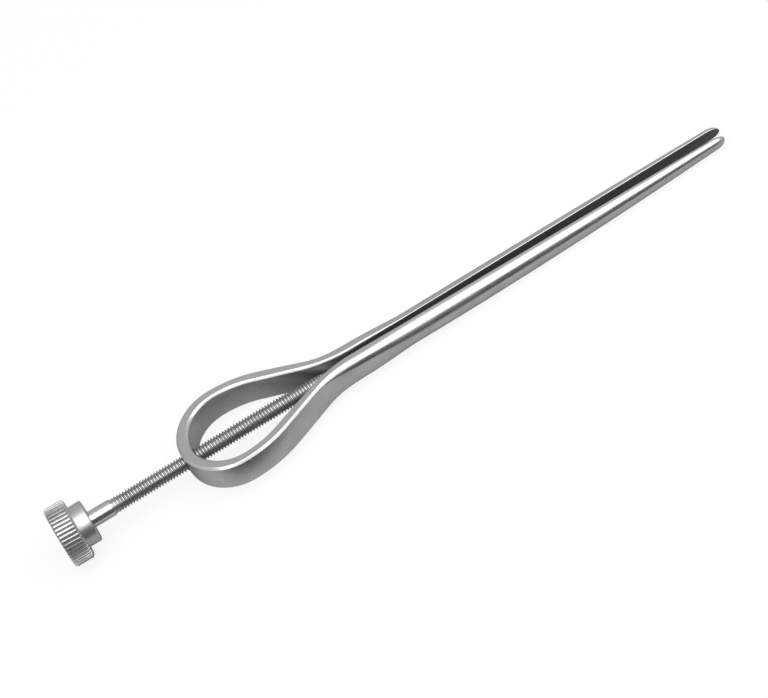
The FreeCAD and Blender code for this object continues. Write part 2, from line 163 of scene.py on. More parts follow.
@contextmanager
def editing(obj: Object) -> Iterator[None]:
    """Hold an object in edit mode, selected by vertices."""
    make_active(obj)
    bpy.ops.object.mode_set(mode="EDIT")
    bpy.ops.mesh.select_mode(type="VERT")
    yield
    bpy.ops.object.mode_set(mode="OBJECT")


def select_vertices(obj: Object, wanted: Callable[[Vector], bool]) -> None:
    """Select the vertices of an object in edit mode whose place, in millimetres, is wanted.

    Args:
        obj: the object, in edit mode.
        wanted: a test of a vertex's place.
    """
    bpy.ops.mesh.select_all(action="DESELECT")
    mesh = bmesh.from_edit_mesh(obj.data)
    for vertex in mesh.verts:
        vertex.select = wanted(vertex.co / MM)
    mesh.select_flush_mode()
    bmesh.update_edit_mesh(obj.data)


def add_disc(name: str, x: float, radius: float, sides: int) -> Object:
    """Add a filled disc square to the screw's axis.

    Args:
        name: the object's name.
        x: its place along the axis, in millimetres.
        radius: its radius, in millimetres.
        sides: how many sides it has.

    Returns:
        The disc, with its place in its mesh.
    """
    select_none()
    bpy.ops.mesh.primitive_circle_add(
        vertices=sides,
        radius=radius * MM,
        fill_type="NGON",
        location=(x * MM, 0, 0),
        rotation=(0, math.pi / 2, 0),
    )
    disc = bpy.context.active_object
    disc.name = name
    disc.data.name = name
    bpy.ops.object.transform_apply(location=True, rotation=True, scale=True)
    return disc


def turn(name: str, profile: list[Pair], sides: int) -> Object:
    """Turn a solid about the screw's axis, a disc extruded and resized from place to place.

    Args:
        name: the object's name.
        profile: places along the axis and the radius at each, in millimetres.
        sides: how many sides the solid has.

    Returns:
        The turned solid.
    """
    (x, radius), *rest = profile
    solid = add_disc(name, x, radius, sides)
    with editing(solid):
        bpy.ops.mesh.select_all(action="SELECT")
        for next_x, next_radius in rest:
            bpy.ops.mesh.extrude_region_move(
                TRANSFORM_OT_translate={"value": ((next_x - x) * MM, 0, 0)}
            )
            ratio = next_radius / radius
            bpy.ops.transform.resize(value=(1, ratio, ratio), center_override=(next_x * MM, 0, 0))
            x, radius = next_x, next_radius
    return solid


def corner(centre: Pair, radius: float, first: float, last: float, steps: int) -> list[Pair]:
    """Points round an arc.

    Args:
        centre: the arc's centre.
        radius: the arc's radius.
        first: the angle that it starts at, in degrees.
        last: the angle that it ends at, in degrees.
        steps: how many straight runs it is divided into.

    Returns:
        The points, both ends included.
    """
    angles = (math.radians(first + (last - first) * step / steps) for step in range(steps + 1))
    return [
        (centre[0] + radius * math.cos(angle), centre[1] + radius * math.sin(angle))
        for angle in angles
    ]


def cut(obj: Object, cutter: Object) -> None:
    """Cut one closed piece out of another and drop the cutter.

    Args:
        obj: the piece that is cut.
        cutter: the piece that is taken away.
    """
    make_active(obj)
    modifier = obj.modifiers.new("cut", "BOOLEAN")
    modifier.operation = "DIFFERENCE"
    modifier.solver = "EXACT"
    modifier.object = cutter
    bpy.ops.object.modifier_apply(modifier=modifier.name)
    mesh = cutter.data
    bpy.data.objects.remove(cutter)
    bpy.data.meshes.remove(mesh)


def finish_surface(obj: Object, sharp_degrees: float) -> None:
    """Merge doubled points, turn every face outwards and smooth what isn't an edge.

    Args:
        obj: the piece.
        sharp_degrees: the angle past which an edge stays sharp.
    """
    with editing(obj):
        bpy.ops.mesh.select_all(action="SELECT")
        bpy.ops.mesh.remove_doubles(threshold=1e-7)
        bpy.ops.mesh.normals_make_consistent(inside=False)
        bpy.ops.mesh.select_all(action="DESELECT")
    make_active(obj)
    bpy.ops.object.shade_smooth_by_angle(angle=math.radians(sharp_degrees))


# Finishes


def add_node(
    tree: NodeTree,
    kind: str,
    inputs: dict[str | int, object] | None = None,
    **settings: object,
) -> bpy.types.Node:
    """Add a shader node with its inputs and its settings.

    Args:
        tree: the node tree.
        kind: the node's type, without the word ShaderNode.
        inputs: values for its sockets, or the output sockets that they are linked from.
        settings: properties of the node.

    Returns:
        The node.
    """
    node = tree.nodes.new(f"ShaderNode{kind}")
    for name, setting in settings.items():
        setattr(node, name, setting)
    for name, given in (inputs or {}).items():
        if isinstance(given, bpy.types.NodeSocket):
            tree.links.new(given, node.inputs[name])
        else:
            node.inputs[name].default_value = given
    return node


def empty_tree(owner: Material | World) -> NodeTree:
    """Give a material or a world an empty node tree."""
    owner.use_nodes = True
    owner.node_tree.nodes.clear()
    return owner.node_tree


class Marks(Enum):
    """How the fine marks of a steel's finish run: the stretch of their pattern in X, Y and Z."""

    GROUND_ALONG = (0.06, 1.0, 1.0)
    TURNED = (1.0, 0.04, 0.04)


@dataclass(frozen=True)
class StainlessSteel:
    """Stainless steel, ground or turned and then polished by hand.

    The metal is a neutral light grey. The polish leaves fine marks that lie one way and soften its
    reflections, and handling leaves faint cloudy patches a few millimetres across.

    Attributes:
        name: the material's name, for how its surface was made.
        bright: colour of the clean metal, as sRGB hex.
        dull: colour of the cloudy patches, as sRGB hex.
        roughness_low: roughness of the best polished places.
        roughness_high: roughness of the dull places.
        marks: how the fine marks run.
        mark_spacing: distance between the marks in millimetres. Real ones lie about 0.02 mm apart,
            which the render can't show, so they are drawn coarser.
        mark_depth: depth of the marks in millimetres.
        patch_size: size of the cloudy patches in millimetres.
        painted_shade: painted shade, a dark colour put where shade falls, made matt too: the
            floors of grooves, the thread's roots and the faces between the prongs, as sRGB hex.
        painted_shade_roughness: how much rougher those painted-shade surfaces are.
    """

    name: str
    bright: str
    dull: str
    roughness_low: float
    roughness_high: float
    marks: Marks
    mark_spacing: float
    mark_depth: float
    patch_size: float
    # Painted shade: a dark, matt colour put where shade falls, in recesses and between the prongs.
    painted_shade: str = "#3c3c3b"
    painted_shade_roughness: float = 0.5

    def material(self) -> Material:
        """Build the material.

        Returns:
            The material, on the piece's own object coordinates.
        """
        material = bpy.data.materials.new(self.name)
        tree = empty_tree(material)
        place = add_node(tree, "TexCoord").outputs["Object"]

        clouds = {"Vector": place, "Scale": 1 / (self.patch_size * MM), "Detail": 4.0}
        patches = add_node(tree, "TexNoise", clouds).outputs["Fac"]
        limits = {"Value": patches, "From Min": 0.42, "From Max": 0.68}
        dulling = add_node(tree, "MapRange", limits).outputs["Result"]
        # Painted shade: the mask of groove floors, thread roots and faces between the prongs
        # darkens the colour.
        painted_shade = add_node(tree, "Attribute", attribute_name=PAINTED_SHADE).outputs["Fac"]
        colour: object = linear(self.bright)
        for share, shade in ((dulling, self.dull), (painted_shade, self.painted_shade)):
            mixed = {"Factor": share, 6: colour, 7: linear(shade)}
            colour = add_node(tree, "Mix", mixed, data_type="RGBA").outputs[2]

        stretch = {"Vector": place, "Scale": self.marks.value}
        stretched = add_node(tree, "Mapping", stretch).outputs["Vector"]
        scale = 1 / (self.mark_spacing * MM)
        fine = {"Vector": stretched, "Scale": scale, "Detail": 3.0, "Roughness": 0.6}
        marks = add_node(tree, "TexNoise", fine).outputs["Fac"]
        shares = {0: marks, 1: 0.5, 2: dulling}
        both = add_node(tree, "Math", shares, operation="MULTIPLY_ADD").outputs["Value"]
        low, high = self.roughness_low, self.roughness_high
        limits = {"Value": both, "From Min": 0.1, "From Max": 1.3, "To Min": low, "To Max": high}
        polished = add_node(tree, "MapRange", limits).outputs["Result"]
        shares = {0: painted_shade, 1: self.painted_shade_roughness, 2: polished}
        roughness = add_node(tree, "Math", shares, operation="MULTIPLY_ADD").outputs["Value"]
        relief = {"Strength": 1.0, "Distance": self.mark_depth * MM, "Height": marks}
        bump = add_node(tree, "Bump", relief).outputs["Normal"]

        metal = {"Base Color": colour, "Metallic": 1.0, "Roughness": roughness, "Normal": bump}
        surface = add_node(tree, "BsdfPrincipled", metal).outputs["BSDF"]
        add_node(tree, "OutputMaterial", {"Surface": surface})
        return material


# Spring stainless steel, ground along its length and polished: bright with soft-edged reflections
SPRING_STEEL = StainlessSteel(
    name="polished_spring_stainless_steel",
    bright="#c6c6c5",
    dull="#bdbdbc",
    roughness_low=0.24,
    roughness_high=0.34,
    marks=Marks.GROUND_ALONG,
    mark_spacing=0.12,
    mark_depth=0.0003,
    patch_size=5.0,
)
# Stainless bar, turned and polished: fine rings round the axis that blur what it mirrors
TURNED_STEEL = StainlessSteel(
    name="turned_polished_stainless_steel",
    bright="#cbcbca",
    dull="#c0c0bf",
    roughness_low=0.2,
    roughness_high=0.3,
    marks=Marks.TURNED,
    mark_spacing=0.14,
    mark_depth=0.0009,
    patch_size=3.0,
)
# Stainless bar, turned and left satin after knurling: soft broad highlights, no mirror images
SATIN_STEEL = StainlessSteel(
    name="satin_turned_stainless_steel",
    bright="#c4c4c3",
    dull="#b4b4b3",
    roughness_low=0.36,
    roughness_high=0.46,
    marks=Marks.TURNED,
    mark_spacing=0.16,
    mark_depth=0.0016,
    patch_size=2.2,
)


def dress(obj: Object, material: Material, slot: Slot, *nodes: Node) -> None:
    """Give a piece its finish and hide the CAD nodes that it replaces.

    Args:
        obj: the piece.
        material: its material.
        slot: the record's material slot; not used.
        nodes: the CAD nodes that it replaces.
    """
    obj.data.materials.clear()
    obj.data.materials.append(material)
    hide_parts(*(node.value for node in nodes))
    obj.data.calc_loop_triangles()
    LOG.info("%s: %d triangles", obj.name, len(obj.data.loop_triangles))


# Pieces


@dataclass(frozen=True)
class Station:
    """One section of the spring's strip.

    Attributes:
        inner: point of the strip's inner side, seen from above.
        outer: point of its outer side.
        height: the strip's height.
        middle: height of the section's middle above the screw's axis.
        inner_edge: width of the two inner edges' bevels.
        outer_edge: width of the two outer edges' bevels.
        softness: how round the bevels are, from 0 for flat to 1 for a quarter round.
        crown: how far the outer side bulges between its edges.
    """

    inner: Vector
    outer: Vector
    height: float
    middle: float
    inner_edge: float
    outer_edge: float
    softness: float
    crown: float


@dataclass
class Spring:
    """The sprung frame: loop, flanks and half-round prongs, as two halves that meet at its back.

    The lengths are the real strip's, in millimetres.
    """

    loop_radius: float = 9.77
    loop_height: float = 6.1
    back_thickness: float = 2.4
    strip_thickness: float = 1.82
    flank_thickness: float = 1.87
    flank_bend_radius: float = 22.8
    flank_angle: float = 24.5
    root_bend_radius: float = 19.5
    root_drop: float = 0.5
    root_thickness: float = 1.7
    root_gap: float = 0.9
    root_length: float = 12.5
    prong_radius: float = 2.48
    prong_end_radius: float = 1.22
    prong_edge: float = 0.16
    tip_gap: float = 2.2
    tip_length: float = 2.2
    taper_power: float = 1.75
    flex_angles: Pair = (25.0, 88.0)
    edge: float = 0.5
    edge_softness: float = 0.25
    round_softness: float = 0.97
    side_crown: float = 0.14
    inner_crown: float = 0.02
    fuller_outside: float = 0.12
    fuller_inside: float = 0.2
    swell: float = 0.9
    swell_length: float = 9.5
    swell_edge: float = 1.65
    # Painted shade on the faces between the prongs: where it starts growing before the root, and
    # how dark.
    flat_start: float = 15.0
    flat_painted_shade: float = 0.68
    hole_radius: float = 1.53
    hole_sides: int = 62
    inner_steps: int = 3
    outer_steps: int = 6
    side_steps: int = 4
    loop_steps: int = 48
    bend_steps: int = 14
    flank_steps: int = 8
    root_steps: int = 20
    prong_steps: int = 34
    tip_steps: int = 12
    sharp_degrees: float = 40.0
    back_x: float = field(init=False)
    end_x: float = field(init=False)
    root_x: float = field(init=False)
    halves: dict[Side, Object] = field(default_factory=dict)

    def __post_init__(self) -> None:
        """Read where the spring starts and ends from the frame."""
        self.back_x = box_low(Node.BOW).x
        self.end_x = box_high(Node.ARM_LEFT).x
        angle = math.radians(self.flank_angle)
        turn_over = 1 - math.cos(angle)
        drop = (
            self.loop_radius
            - (self.flank_bend_radius + self.root_bend_radius) * turn_over
            - self.root_thickness
            - self.root_gap / 2
        )
        self.root_x = (
            self.back_x
            + self.loop_radius
            + (self.flank_bend_radius + self.root_bend_radius) * math.sin(angle)
            + drop / math.tan(angle)
        )

    # The strip's plan, seen from above

    def bend(
        self,
        centres: tuple[Vector, Vector],
        radii: Pair,
        turned: list[float],
    ) -> list[Station]:
        """Sections round a bend.

        Args:
            centres: centres of the inner and the outer side's arcs.
            radii: their radii, below zero for a bend that is hollow outwards.
            turned: how far each section is turned from the strip's widest place, in radians.

        Returns:
            The sections.
        """
        headings = [Vector((math.sin(angle), math.cos(angle))) for angle in turned]
        return [
            self.strip(centres[0] + heading * radii[0], centres[1] + heading * radii[1])
            for heading in headings
        ]

    def loop_stations(self) -> list[Station]:
        """Sections round the loop, from its back to where the flank starts to bend."""
        radius = self.loop_radius - self.strip_thickness
        inner_centre = Vector((self.back_x + self.back_thickness + radius, 0))
        outer_centre = Vector((self.back_x + self.loop_radius, 0))
        shares = [step / self.loop_steps for step in range(self.loop_steps)]
        return self.bend(
            (inner_centre, outer_centre),
            (radius, self.loop_radius),
            [math.pi / 2 * (share - 1) for share in shares],
        )

    def flank_stations(self) -> list[Station]:
        """Sections along the flank: the wide bend, the straight run and the bend to the root."""
        angle = math.radians(self.flank_angle)
        normal = Vector((math.sin(angle), math.cos(angle)))
        turn_over = 1 - math.cos(angle)
        inner_radius = self.loop_radius - self.strip_thickness
        outer_top = Vector((self.back_x + self.loop_radius, self.loop_radius))
        inner_top = Vector((self.back_x + self.back_thickness + inner_radius, inner_radius))
        outer_bend = outer_top - Vector((0, self.flank_bend_radius))
        reach = normal.dot(outer_bend) + self.flank_bend_radius
        inner_reach = reach - self.flank_thickness
        inner_bend_radius = (inner_reach - normal.dot(inner_top)) / turn_over
        inner_bend = inner_top - Vector((0, inner_bend_radius))
        outer_foot = Vector((self.root_x, self.root_gap / 2 + self.root_thickness))
        inner_foot = Vector((self.root_x, self.root_gap / 2))
        outer_root = outer_foot + Vector((0, self.root_bend_radius))
        inner_root_radius = (normal.dot(inner_foot) - inner_reach) / turn_over
        inner_root = inner_foot + Vector((0, inner_root_radius))

        turned = [angle * step / self.bend_steps for step in range(self.bend_steps)]
        bend = self.bend(
            (inner_bend, outer_bend), (inner_bend_radius, self.flank_bend_radius), turned
        )
        inner_start = inner_bend + normal * inner_bend_radius
        outer_start = outer_bend + normal * self.flank_bend_radius
        inner_end = inner_root - normal * inner_root_radius
        outer_end = outer_root - normal * self.root_bend_radius
        shares = [step / self.flank_steps for step in range(self.flank_steps)]
        straight = [
            self.strip(inner_start.lerp(inner_end, share), outer_start.lerp(outer_end, share))
            for share in shares
        ]
        root = self.bend(
            (inner_root, outer_root),
            (-inner_root_radius, -self.root_bend_radius),
            [angle - turn for turn in turned],
        )
        return bend + straight + root

    def strip(self, inner: Vector, outer: Vector) -> Station:
        """A section of the loop or flank: a strip with bevelled edges and a crowned outer side.

        Towards the root it swells outwards and its outer edges grow rounder.

        Args:
            inner: its point on the inner side, seen from above.
            outer: its point on the outer side.

        Returns:
            The section.
        """
        taper_start = self.back_x + 2 * self.loop_radius
        along = max(0.0, (outer.x + inner.x) / 2 - taper_start) / (self.root_x - taper_start)
        swelling = smooth((outer.x - self.root_x + self.swell_length) / self.swell_length)
        outwards = (outer - inner).normalized()
        fullness = smooth((outer.x - self.back_x) / self.loop_radius)
        fullness *= 1 - smooth((inner.x - self.root_x) / self.swell_length + 1.8)
        return Station(
            inner=inner - outwards * self.fuller_inside * fullness,
            outer=outer + outwards * (self.swell * swelling + self.fuller_outside * fullness),
            height=self.loop_height - self.root_drop * min(1.0, along**2),
            middle=0.0,
            inner_edge=self.edge,
            outer_edge=self.edge + (self.swell_edge - self.edge) * swelling,
            softness=self.edge_softness
            + (self.round_softness - self.edge_softness) * swelling,
            crown=self.side_crown,
        )

    # The prong

    def prong_radius_at(self, x: float) -> float:
        """Radius of the prong's half-round section at a place along the axis."""
        start = self.root_x + self.root_length
        end = self.end_x - self.tip_length
        fall = min(1.0, max(0.0, (x - start) / (end - start))) ** self.taper_power
        return self.prong_radius + (self.prong_end_radius - self.prong_radius) * fall

    def prong_station(self, x: float) -> Station:
        """A section of the prong, from the strip's own at the root to a half round.

        Args:
            x: the place along the axis.

        Returns:
            The section. Its upper edge runs level, and its underside rises as it thins.
        """
        tip_start = self.end_x - self.tip_length
        change = smooth((x - self.root_x) / self.root_length)
        along = (x - self.root_x) / (self.end_x - self.root_x)
        beyond = min(0.995, max(0.0, (x - tip_start) / self.tip_length))
        shrink = math.sqrt(1 - beyond**2)
        radius = self.prong_radius_at(x)
        near = (self.root_gap + (self.tip_gap - self.root_gap) * along) / 2
        root_thickness = self.root_thickness + self.swell
        thick = (root_thickness * (1 - change) + radius * change) * shrink
        strip_height = self.loop_height - self.root_drop
        tall = (strip_height * (1 - change) + 2 * radius * change) * shrink
        inner = (self.edge * (1 - change) + self.prong_edge * change) * shrink
        widest = 0.98 * min(thick - inner, tall / 2)
        return Station(
            inner=Vector((x, near)),
            outer=Vector((x, near + thick)),
            height=tall,
            middle=self.prong_radius - radius,
            inner_edge=inner,
            outer_edge=self.swell_edge * (1 - change) + widest * change,
            softness=self.round_softness,
            crown=self.side_crown * (1 - change),
        )

    def prong_stations(self) -> list[Station]:
        """Sections along the prong, closer together at the root and round the tip."""
        root_end = self.root_x + self.root_length
        tip_start = self.end_x - self.tip_length
        places = [
            start + run * step / steps
            for start, run, steps in (
                (self.root_x, self.root_length, self.root_steps),
                (root_end, tip_start - root_end, self.prong_steps),
            )
            for step in range(steps)
        ]
        places += [
            tip_start + self.tip_length * math.sin(math.pi / 2 * step / self.tip_steps)
            for step in range(self.tip_steps + 1)
        ]
        return [self.prong_station(x) for x in places]

    # The mesh

    def ring(self, station: Station) -> list[Vector]:
        """The points round one section, each always at the same number.

        Args:
            station: the section.

        Returns:
            The points in metres, from the lower inner edge outwards, up and back.
        """
        across = station.outer - station.inner
        thick = across.length
        across.normalize()
        half = station.height / 2
        small, large = station.inner_edge, station.outer_edge
        near, far = small * station.softness, large * station.softness
        lower = [
            *corner((near, small - half), near, 180, 225, self.inner_steps),
            *corner((small, near - half), near, 225, 270, self.inner_steps),
            *corner((thick - large, far - half), far, 270, 315, self.outer_steps),
            *corner((thick - far, large - half), far, 315, 360, self.outer_steps),
        ]
        upper = [(out, -up) for out, up in reversed(lower)]
        back = self.side_points(lower[-1], upper[0], station.crown)
        front = self.side_points(upper[-1], lower[0], -self.inner_crown)
        return [
            Vector((*(station.inner + across * out), up + station.middle)) * MM
            for out, up in lower + back + upper + front
        ]

    def side_points(self, first: Pair, last: Pair, crown: float) -> list[Pair]:
        """Points between the two edges of a side, bulging by its crown.

        Args:
            first: where the side starts.
            last: where the side ends.
            crown: how far its middle stands out, along the section's thickness.

        Returns:
            The points between, without both ends.
        """
        (out, up), (last_out, last_up) = first, last
        shares = [step / self.side_steps for step in range(1, self.side_steps)]
        bulges = [crown * 4 * share * (1 - share) for share in shares]
        return [
            (out + (last_out - out) * share + bulge, up + (last_up - up) * share)
            for share, bulge in zip(shares, bulges)
        ]

    def build(self) -> None:
        """Model the left half, cut the screw's hole and mirror it."""
        stations = self.loop_stations() + self.flank_stations() + self.prong_stations()
        left = self.extrude_through([self.ring(station) for station in stations])
        ends = (self.back_x - 2, self.back_x + 2 * self.back_thickness)
        cut(left, turn("hole_cutter", [(x, self.hole_radius) for x in ends], self.hole_sides))
        finish_surface(left, self.sharp_degrees)
        right = left.copy()
        right.data = left.data.copy()
        right.name = right.data.name = "spring_half_right"
        bpy.context.scene.collection.objects.link(right)
        with editing(right):
            bpy.ops.mesh.select_all(action="SELECT")
            bpy.ops.transform.resize(value=(1, -1, 1), center_override=(0, 0, 0))
        finish_surface(right, self.sharp_degrees)
        self.halves = {Side.LEFT: left, Side.RIGHT: right}

    def extrude_through(self, rings: list[list[Vector]]) -> Object:
        """Extrude the strip's end face from section to section.

        No operator changes a strip's section into a half round on the way, so each extruded ring
        is put into the next section's place point by point.

        Args:
            rings: the points round each section, in metres.

        Returns:
            The closed half of the spring.
        """
        half = add_disc("spring_half_left", self.back_x, self.loop_radius, len(rings[0]))
        with editing(half):
            mesh = bmesh.from_edit_mesh(half.data)
            layer = mesh.verts.layers.int.new(PLACE_IN_RING)
            mesh.verts.ensure_lookup_table()
            for number, vertex in enumerate(mesh.verts):
                vertex[layer] = number
                vertex.co = rings[0][number]
            bmesh.update_edit_mesh(half.data)
            bpy.ops.mesh.select_all(action="SELECT")
            for ring in rings[1:]:
                bpy.ops.mesh.extrude_region()
                mesh = bmesh.from_edit_mesh(half.data)
                layer = mesh.verts.layers.int[PLACE_IN_RING]
                for vertex in mesh.verts:
                    if vertex.select:
                        vertex.co = ring[vertex[layer]]
                bmesh.update_edit_mesh(half.data)
            count = len(rings[0])
            self.paint_flat_shade(half, {0, *range(count - self.side_steps, count)})
        half.data.attributes.remove(half.data.attributes[PLACE_IN_RING])
        return half

    def paint_flat_shade(self, half: Object, flat: set[int]) -> None:
        """Paint shade on the flat between the prongs, more and more behind the root.

        Args:
            half: the half of the spring, in edit mode.
            flat: the numbers of the flat's points in each section.
        """
        mesh = bmesh.from_edit_mesh(half.data)
        layer = mesh.verts.layers.float.new(PAINTED_SHADE)
        number = mesh.verts.layers.int[PLACE_IN_RING]
        for vertex in mesh.verts:
            if vertex[number] in flat:
                behind = vertex.co.x / MM - self.root_x + self.flat_start
                # Painted shade on the faces between the prongs.
                vertex[layer] = self.flat_painted_shade * smooth(behind / self.flat_start)
        bmesh.update_edit_mesh(half.data)

    def dress(self, material: Material) -> None:
        """Give both halves their steel.

        Args:
            material: the spring's steel.
        """
        sides = (
            (Side.LEFT, Body.ARM_LEFT, (Node.BOW, Node.ARM_LEFT)),
            (Side.RIGHT, Body.ARM_RIGHT, (Node.ARM_RIGHT,)),
        )
        for side, body, nodes in sides:
            half = self.halves[side]
            dress(half, material, Slot.FRAME, *nodes)
            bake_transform(half)

    def underside(self, x: float) -> float:
        """Height of the prongs' lowest line at a place along the axis."""
        station = self.prong_station(x)
        return station.middle - station.height / 2


@dataclass
class Spindle:
    """The screw: seat in the knob, polished neck, right-hand thread and smooth tapered nose.

    The lengths are in millimetres.
    """

    seat_radius: float = 1.3
    seat_edge: float = 0.1
    neck_radius: float = 1.6
    neck_length: float = 4.5
    neck_edge: float = 0.14
    thread_radius: float = 1.5
    thread_pitch: float = 0.6
    thread_depth: float = 0.34
    thread_profile: tuple[Pair, ...] = (
        (0.0, 0.0), (0.1, 0.0), (0.42, 1.0), (0.58, 1.0), (0.9, 0.0), (1.0, 0.0),
    )
    run_out_length: float = 3.2
    run_out_share: float = 0.55
    # Painted shade in the thread's roots.
    root_painted_shade: float = 0.5
    core_radius: float = 1.13
    nose_length: float = 5.2
    nose_end_radius: float = 0.4
    sides: int = 56
    thread_steps: int = 28
    sharp_degrees: float = 38.0
    start_x: float = field(init=False)
    end_x: float = field(init=False)
    neck_start: float = field(init=False)
    neck_end: float = field(init=False)
    nose_start: float = field(init=False)
    piece: Object = field(init=False)

    def __post_init__(self) -> None:
        """Read the spindle's ends from the frame."""
        self.start_x = box_low(Node.SPINDLE).x
        self.end_x = box_high(Node.SPINDLE).x
        self.neck_start = box_high(Node.KNOB).x
        self.neck_end = self.neck_start + self.neck_length
        self.nose_start = self.end_x - self.nose_length

    def nose_radius_at(self, x: float) -> float:
        """Radius of the nose's cone at a place along the axis."""
        share = (x - self.nose_start) / self.nose_length
        return self.thread_radius + (self.nose_end_radius - self.thread_radius) * share

    def bar(self) -> Object:
        """The turned bar: seat, neck, the core under the thread, and the nose."""
        slope = (self.thread_radius - self.nose_end_radius) / self.nose_length
        core_end = self.nose_start + (self.thread_radius - self.core_radius) / slope
        edge = self.neck_edge
        neck_edge = corner((self.neck_end - edge, self.neck_radius - edge), edge, 90, 0, 4)
        end_round = self.nose_end_radius * 0.9
        nose_end = corner(
            (self.end_x - end_round, self.nose_end_radius - end_round), end_round, 78, 0, 6
        )
        profile = [
            (self.start_x + 0.02, self.seat_radius - self.seat_edge),
            (self.start_x + 0.02 + self.seat_edge, self.seat_radius),
            (self.neck_start - 0.2, self.seat_radius),
            (self.neck_start - 0.2, self.neck_radius - edge),
            (self.neck_start - 0.02, self.neck_radius - edge),
            (self.neck_start + 0.02, self.neck_radius),
            *neck_edge,
            (self.neck_end, self.core_radius),
            (core_end, self.core_radius),
            *nose_end,
        ]
        return turn("threaded_screw", profile, self.sides)

    def thread(self) -> Object:
        """The thread's skin: one turn's profile, screwed along the axis.

        Its first turns fade out towards the neck, and its last ones are turned down to the nose's
        cone, as the real ones are.

        Returns:
            The closed skin, whose two ends lie inside the bar.
        """
        select_none()
        bpy.ops.mesh.primitive_plane_add(size=self.thread_pitch * MM, location=(0, 0, 0))
        skin = bpy.context.active_object
        skin.name = skin.data.name = "thread_skin"
        root = self.thread_radius - self.thread_depth
        pitch = self.thread_pitch
        start = self.neck_end - 1.5 * pitch
        profile = [
            (along * pitch, root + height * self.thread_depth)
            for along, height in self.thread_profile
        ]
        with editing(skin):
            bpy.ops.mesh.select_all(action="SELECT")
            bpy.ops.mesh.merge(type="CENTER")
            x, radius = profile[0]
            bpy.ops.transform.translate(value=((start + x) * MM, 0, radius * MM))
            for next_x, next_radius in profile[1:]:
                shift = ((next_x - x) * MM, 0, (next_radius - radius) * MM)
                bpy.ops.mesh.extrude_vertices_move(TRANSFORM_OT_translate={"value": shift})
                x, radius = next_x, next_radius
        screw = skin.modifiers.new("thread", "SCREW")
        screw.axis = "X"
        screw.angle = 2 * math.pi
        screw.screw_offset = pitch * MM
        screw.iterations = round((self.nose_start + 2.2 - start) / pitch)
        screw.steps = self.thread_steps
        screw.render_steps = self.thread_steps
        screw.use_merge_vertices = False
        make_active(skin)
        bpy.ops.object.modifier_apply(modifier=screw.name)
        with editing(skin):
            bpy.ops.mesh.select_all(action="SELECT")
            bpy.ops.mesh.remove_doubles(threshold=2e-7)
            self.turn_down(skin)
            bpy.ops.mesh.select_all(action="SELECT")
            bpy.ops.mesh.fill_holes(sides=0)
        return skin

    def turn_down(self, skin: Object) -> None:
        """Bring the thread to the neck's run-out and the nose's cone, and paint shade in its roots.

        Args:
            skin: the thread's skin, in edit mode.
        """
        mesh = bmesh.from_edit_mesh(skin.data)
        layer = mesh.verts.layers.float.new(PAINTED_SHADE)
        for vertex in mesh.verts:
            x = vertex.co.x / MM
            radius = math.hypot(vertex.co.y, vertex.co.z) / MM
            depth = self.thread_radius - radius
            full = smooth((x - self.neck_end) / self.run_out_length)
            depth *= self.run_out_share + (1 - self.run_out_share) * full
            wanted = self.thread_radius - depth
            # Painted shade in the roots, darker where the thread is deeper.
            vertex[layer] = self.root_painted_shade * smooth(depth / self.thread_depth)
            if x > self.nose_start:
                wanted = min(wanted, self.nose_radius_at(x))
            wanted = max(wanted, self.core_radius - 0.02)
            if x > self.end_x - self.nose_length * 0.64:
                wanted = min(wanted, self.nose_radius_at(x) - 0.02)
            vertex.co.y *= wanted / radius
            vertex.co.z *= wanted / radius
        bmesh.update_edit_mesh(skin.data)

    def build(self) -> None:
        """Model the bar and the thread as one piece."""
        bar = self.bar()
        skin = self.thread()
        finish_surface(bar, self.sharp_degrees)
        finish_surface(skin, self.sharp_degrees)
        make_active(bar)
        skin.select_set(True)
        bpy.ops.object.join()
        self.piece = bar

    def dress(self, material: Material) -> None:
        """Give the screw its steel and let it turn with the knob.

        Args:
            material: the screw's steel.
        """
        dress(self.piece, material, Slot.SCREW, Node.SPINDLE)
        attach(self.piece, Body.KNOB.value)


